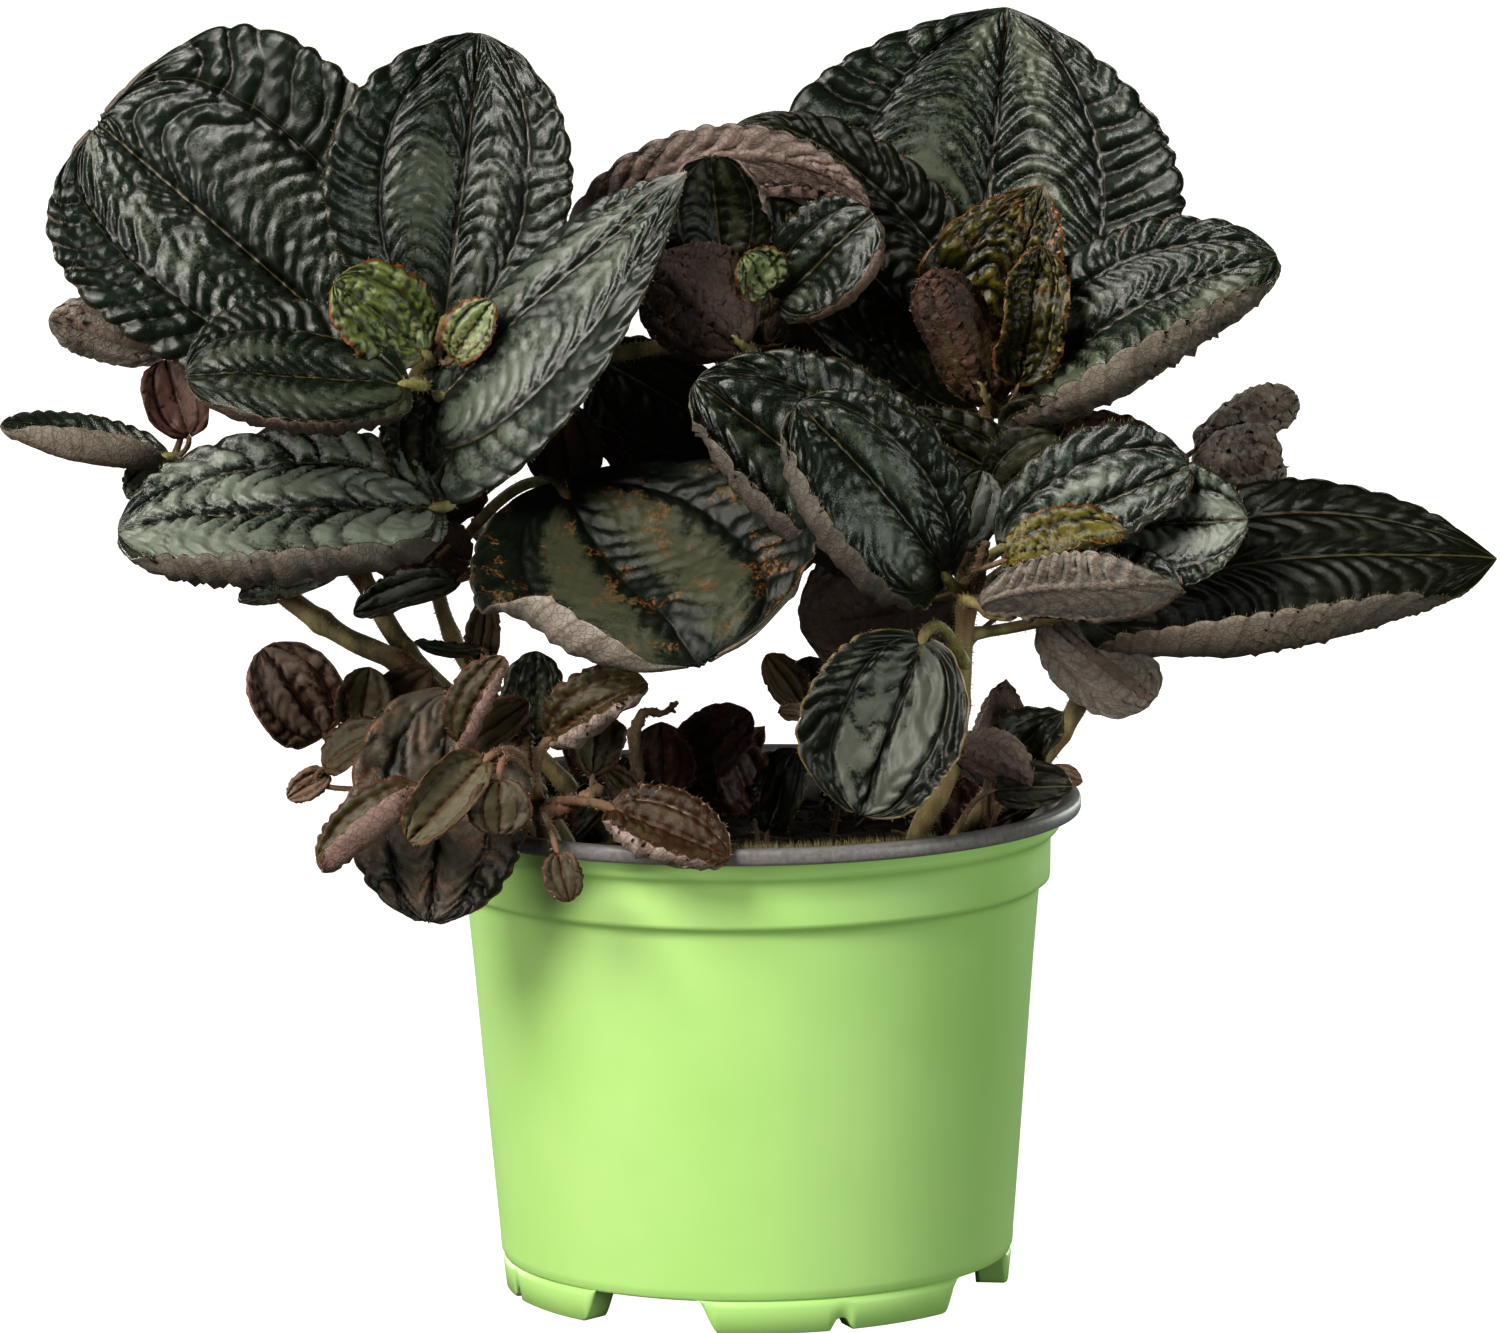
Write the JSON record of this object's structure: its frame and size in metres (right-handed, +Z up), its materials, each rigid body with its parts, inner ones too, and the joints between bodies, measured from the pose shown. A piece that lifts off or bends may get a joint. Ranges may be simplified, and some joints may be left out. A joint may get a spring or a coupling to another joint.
{
  "type": "friendship plant in nursery pot",
  "caption": "Potted friendship plant with quilted, silver-striped leaves in crowns on arching stems, in a tapered plastic nursery pot with feet.",
  "frame": {"origin": "on the pot's axis, at the floor the pot's feet stand on", "axes": "+Z up, -Y is the front, +X to the right seen from the front, along the plant's widest reach"},
  "size_m": [0.2655, 0.1319, 0.2298],
  "materials": {
    "pot": "satin lime green, grey at the lip",
    "soil": "dark crumbly compost",
    "stem": "hairy olive brown",
    "leaf_silver": "quilted, silver between dark veins, glossy",
    "leaf_dark": "quilted, dark green, glossy",
    "leaf_young": "blistered yellow-green, glossy",
    "leaf_bronze": "brown-red, satin",
    "leaf_back": "tan-grey underside, matt"
  },
  "bodies": {
    "root": {"pot": "pot", "soil": "soil", "left_arching_stem": "stem", "left_upright_stem": "stem", "back_centre_stem": "stem", "right_upright_stem": "stem", "right_arching_stem": "stem", "tuft_stem": "stem", "left_crown_broad_leaf": "leaf_silver", "left_crown_upright_leaf": "leaf_dark", "left_crown_pointed_leaf": "leaf_silver", "left_crown_front_leaf": "leaf_dark", "left_crown_low_leaf": "leaf_silver", "left_crown_young_leaf": "leaf_young", "left_crown_back_leaf": "leaf_dark", "left_shoot_back_leaf": "leaf_back", "left_shoot_silver_leaf": "leaf_silver", "left_shoot_dark_leaf": "leaf_bronze", "left_stem_leaf": "leaf_back", "left_back_leaf": "leaf_dark", "side_shoot_round_leaf": "leaf_bronze", "side_shoot_hairy_leaf": "leaf_dark", "back_crown_arched_leaf": "leaf_back", "back_crown_cupped_leaf": "leaf_dark", "back_crown_bronze_leaf": "leaf_back", "back_crown_curled_leaf": "leaf_bronze", "back_crown_hanging_leaf": "leaf_dark", "back_crown_brown_leaf": "leaf_back", "back_crown_silver_leaf": "leaf_silver", "back_crown_back_leaf": "leaf_dark", "right_crown_broad_leaf": "leaf_silver", "right_crown_left_leaf": "leaf_dark", "right_crown_front_leaf": "leaf_silver", "right_crown_young_leaf": "leaf_young", "right_crown_bud_leaf": "leaf_young", "right_crown_curled_leaf": "leaf_bronze", "right_crown_back_leaf": "leaf_dark", "right_shoot_upper_leaf": "leaf_back", "right_shoot_lower_leaf": "leaf_back", "right_shoot_back_leaf": "leaf_dark", "front_crown_wide_leaf": "leaf_silver", "front_crown_pointed_leaf": "leaf_dark", "front_crown_right_leaf": "leaf_silver", "front_crown_cupped_leaf": "leaf_back", "front_crown_small_leaf": "leaf_silver", "front_crown_back_leaf": "leaf_dark", "far_right_leaf": "leaf_dark", "right_side_leaf": "leaf_back", "rim_leaf": "leaf_silver", "centre_brown_leaf": "leaf_bronze", "centre_leaf": "leaf_silver", "tuft_red_leaf": "leaf_bronze", "tuft_large_leaf": "leaf_dark", "tuft_pink_leaf": "leaf_bronze", "tuft_green_leaf": "leaf_young", "tuft_upright_leaf": "leaf_young", "tuft_olive_leaf": "leaf_young", "tuft_rim_leaf": "leaf_bronze", "soil_maroon_leaf": "leaf_bronze", "soil_right_leaf": "leaf_dark"}
  },
  "joints": []
}
